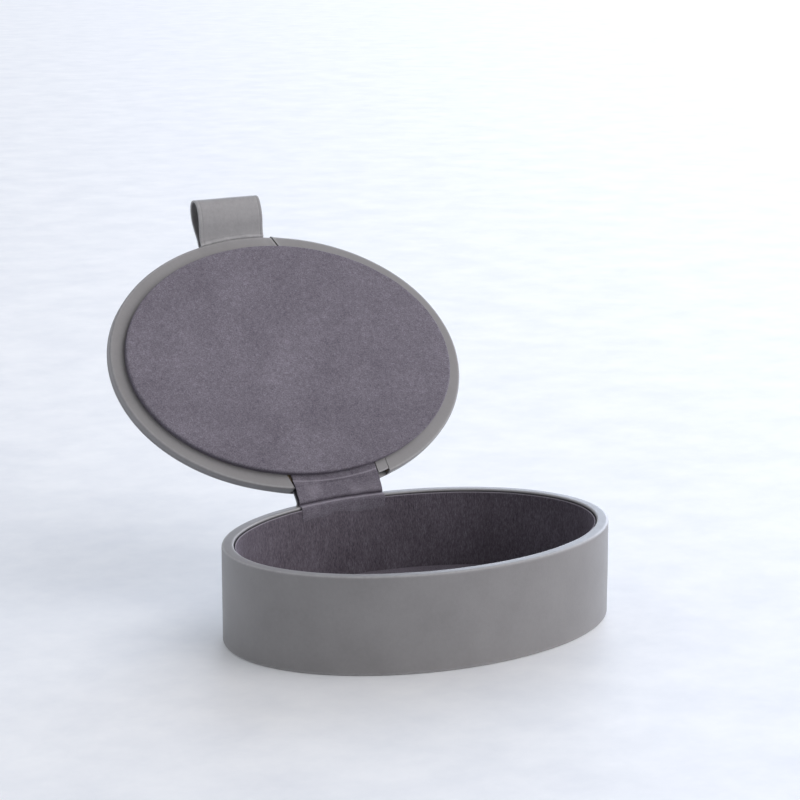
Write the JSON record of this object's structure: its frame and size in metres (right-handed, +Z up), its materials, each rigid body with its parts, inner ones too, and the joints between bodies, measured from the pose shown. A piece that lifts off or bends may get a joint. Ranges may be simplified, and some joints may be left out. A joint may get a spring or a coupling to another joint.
{
  "type": "travel jewelry case",
  "caption": "Oval leather-wrapped jewelry box with suede lining, padded lid on a soft strap hinge and a folded leather pull loop.",
  "frame": {"origin": "centre of the underside, on the surface that the case stands on", "axes": "+Z up, X along the long axis of the oval, +Y towards the hinge at the back; the lid is modelled fully open"},
  "size_m": [0.1606, 0.197, 0.1495],
  "materials": {
    "leather": "smooth grey calf leather, semi-matte",
    "suede": "soft purple-grey suede with a short nap",
    "board": "plain fibreboard, hidden",
    "card": "grey-brown card, hidden",
    "foam": "thin open-cell foam sheet, hidden",
    "base_cloth": "dark grey brushed cloth"
  },
  "bodies": {
    "body": {"base_floor_board": "board", "base_wall_board": "board", "body_leather_wrap": "leather", "bottom_cover": "base_cloth", "wall_filler_card": "card", "wall_lining_suede": "suede", "floor_pad_card": "card", "floor_pad_foam": "foam", "floor_pad_suede": "suede", "hinge_leather_base_flap": "leather", "hinge_leather_web": "leather", "hinge_suede_base_flap": "suede", "hinge_suede_web": "suede"},
    "lid": {"lid_board": "board", "lid_top_leather": "leather", "lid_edge_strip_left": "leather", "lid_edge_strip_right": "leather", "lid_hinge_facing": "leather", "lid_pad_card": "card", "lid_pad_foam": "foam", "lid_pad_suede": "suede", "hinge_leather_lid_flap": "leather", "hinge_suede_lid_flap": "suede", "pull_tab_root": "leather"},
    "pull_tab": {"pull_tab_loop": "leather"}
  },
  "joints": [
    {"name": "lid_hinge", "type": "hinge", "parent": "body", "child": "lid", "pos_m": [0, 0.0586, 0.0403], "axis": [1, 0, 0], "range_deg": [0, 129], "deforming": ["hinge_leather_web", "hinge_suede_web"]},
    {"name": "pull_tab_flex", "type": "hinge", "parent": "lid", "child": "pull_tab", "pos_m": [0, 0.1317, 0.1315], "axis": [1, 0, 0], "range_deg": [-20, 20], "stiffness_Nm_per_rad": 0.02}
  ]
}
